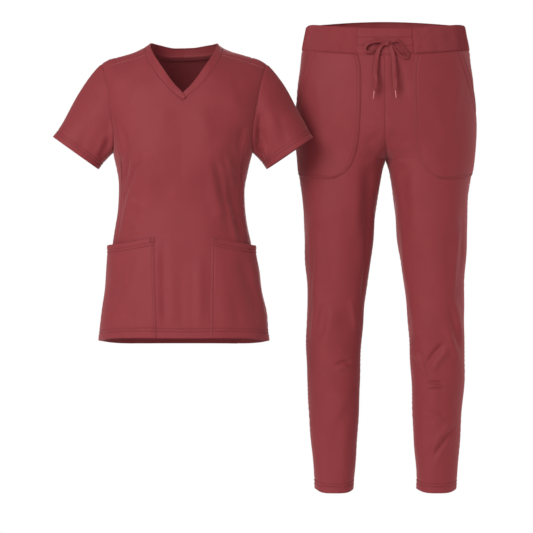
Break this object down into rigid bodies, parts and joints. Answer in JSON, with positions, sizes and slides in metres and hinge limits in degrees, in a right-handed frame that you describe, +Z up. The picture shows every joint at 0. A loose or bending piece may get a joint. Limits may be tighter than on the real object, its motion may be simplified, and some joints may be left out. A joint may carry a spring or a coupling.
{
  "type": "medical scrubs",
  "caption": "Hollow set of short-sleeved V-neck top with patch pockets and tapered trousers with knitted waistband and drawstring, for wearing at clinical work.",
  "frame": {"origin": "the middle of the top's neck opening at the height of the shoulder ridge, where the wearer's shoulders carry the top", "axes": "+X to the viewer's right (the wearer's left), -Y the way both fronts face, +Z up; the trousers hang beside the top at X 0.437 m and 0.105 m further back"},
  "size_m": [0.9173, 0.3634, 1.031],
  "materials": {
    "cloth": "matt woven stretch cloth, dusty brick red",
    "rib_knit": "fine vertical rib knit, dusty brick red",
    "cord": "flat cord of the same cloth",
    "cord_tip": "small smooth rose tips"
  },
  "bodies": {
    "root": {"drawstring_knot": "cord", "drawstring_loop_left": "cord", "drawstring_loop_right": "cord", "drawstring_tail_left": "cord", "drawstring_tail_right": "cord", "drawstring_tip_left": "cord_tip", "drawstring_tip_right": "cord_tip", "top_back": "cloth", "top_back_side_left": "cloth", "top_back_side_right": "cloth", "top_front": "cloth", "top_front_side_left": "cloth", "top_front_side_right": "cloth", "top_neckband_back": "cloth", "top_neckband_left": "cloth", "top_neckband_right": "cloth", "top_pocket_left": "cloth", "top_pocket_right": "cloth", "top_sleeve_left": "cloth", "top_sleeve_right": "cloth", "trousers_back_left": "cloth", "trousers_back_right": "cloth", "trousers_front_left": "cloth", "trousers_front_right": "cloth", "trousers_insert": "cloth", "trousers_pocket_left": "cloth", "trousers_pocket_right": "cloth", "trousers_waistband": "rib_knit"}
  },
  "joints": []
}
